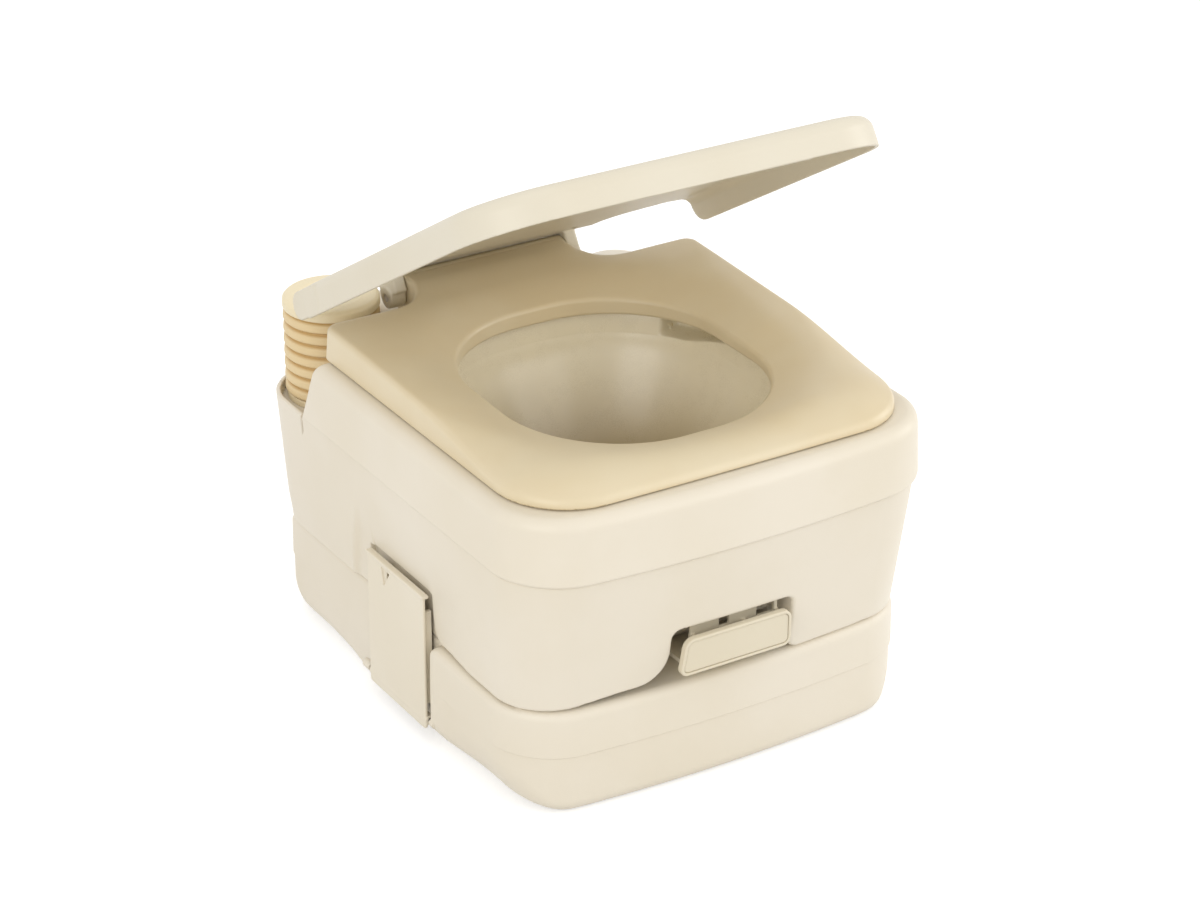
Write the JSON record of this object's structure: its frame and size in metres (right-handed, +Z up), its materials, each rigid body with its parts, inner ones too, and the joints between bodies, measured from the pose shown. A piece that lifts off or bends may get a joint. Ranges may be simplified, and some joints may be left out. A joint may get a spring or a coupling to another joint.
{
  "type": "portable toilet",
  "caption": "Self-contained portable toilet with bellows flush pump, hinged lid, slide valve and side latches joining flush and waste tanks.",
  "frame": {"origin": "on the floor, under the middle of the body's box", "axes": "+X to the right seen from the front, +Y to the rear where the hinge, pump and fill cap are, +Z up; the front with the slide valve's grip faces -Y"},
  "size_m": [0.342, 0.414, 0.4446],
  "materials": {
    "shell": "satin moulded parchment plastic",
    "seat_plastic": "smooth warm tan plastic",
    "bellows": "soft tan moulded rubber",
    "seal": "black sealing rubber",
    "steel": "plain steel"
  },
  "bodies": {
    "base": {"waste_tank": "shell", "valve_housing": "shell", "valve_seal_lower": "seal", "valve_seal_upper": "seal", "valve_screws": "steel", "latch_pins": "steel", "pour_spout": "shell", "vent_bushing": "shell", "flush_tank": "shell", "deck_cover": "shell", "bowl": "seat_plastic", "flush_nozzle": "shell", "flush_tube": "bellows", "pickup_tube": "shell", "pump_collar": "shell", "pump_valve": "shell", "filler_neck": "shell", "bellows": "bellows"},
    "slide_valve": {"valve_blade": "shell", "valve_handle": "shell", "handle_panel": "shell"},
    "left_latch": {"latch_left": "shell"},
    "right_latch": {"latch_right": "shell"},
    "pour_cap": {"spout_cap": "shell", "spout_seal": "seal"},
    "vent_plunger": {"vent_button": "shell"},
    "pump_head": {"bellows_cap": "bellows"},
    "filler_cap": {"fill_cap": "shell", "fill_seal": "seal"},
    "seat_frame": {"seat": "seat_plastic", "seat_pads": "seal", "hinge_pins": "steel"},
    "lid_frame": {"lid": "shell"}
  },
  "joints": [
    {"name": "slide_valve_pull", "type": "slide", "parent": "base", "child": "slide_valve", "axis": [0, -1, 0], "range_m": [0, 0.112]},
    {"name": "left_latch_pivot", "type": "hinge", "parent": "base", "child": "left_latch", "pos_m": [-0.1625, -0.005, 0.017], "axis": [0, -1, 0], "range_deg": [0, 75]},
    {"name": "right_latch_pivot", "type": "hinge", "parent": "base", "child": "right_latch", "pos_m": [0.1625, -0.005, 0.017], "axis": [0, 1, 0], "range_deg": [0, 75]},
    {"name": "pour_cap_turn", "type": "hinge", "parent": "base", "child": "pour_cap", "pos_m": [0.088, 0.19, 0.042], "axis": [0, 1, 0], "range_deg": [0, 450]},
    {"name": "vent_press", "type": "slide", "parent": "base", "child": "vent_plunger", "axis": [0, -1, 0], "range_m": [0, 0.003], "stiffness_N_per_m": 800, "springref_m": -0.0015},
    {"name": "pump_press", "type": "slide", "parent": "base", "child": "pump_head", "axis": [0, 0, -1], "range_m": [0, 0.038], "stiffness_N_per_m": 700, "springref_m": -0.003, "deforming": ["bellows"]},
    {"name": "filler_cap_turn", "type": "hinge", "parent": "base", "child": "filler_cap", "pos_m": [0.124, 0.1655, 0.22], "axis": [0, 0, 1], "range_deg": [0, 450]},
    {"name": "seat_lift", "type": "slide", "parent": "base", "child": "seat_frame", "axis": [0, 0, 1], "range_m": [0, 0.08]},
    {"name": "lid_hinge", "type": "hinge", "parent": "seat_frame", "child": "lid_frame", "pos_m": [0, 0.155, 0.25], "axis": [-1, 0, 0], "range_deg": [-31.5, 68]}
  ]
}
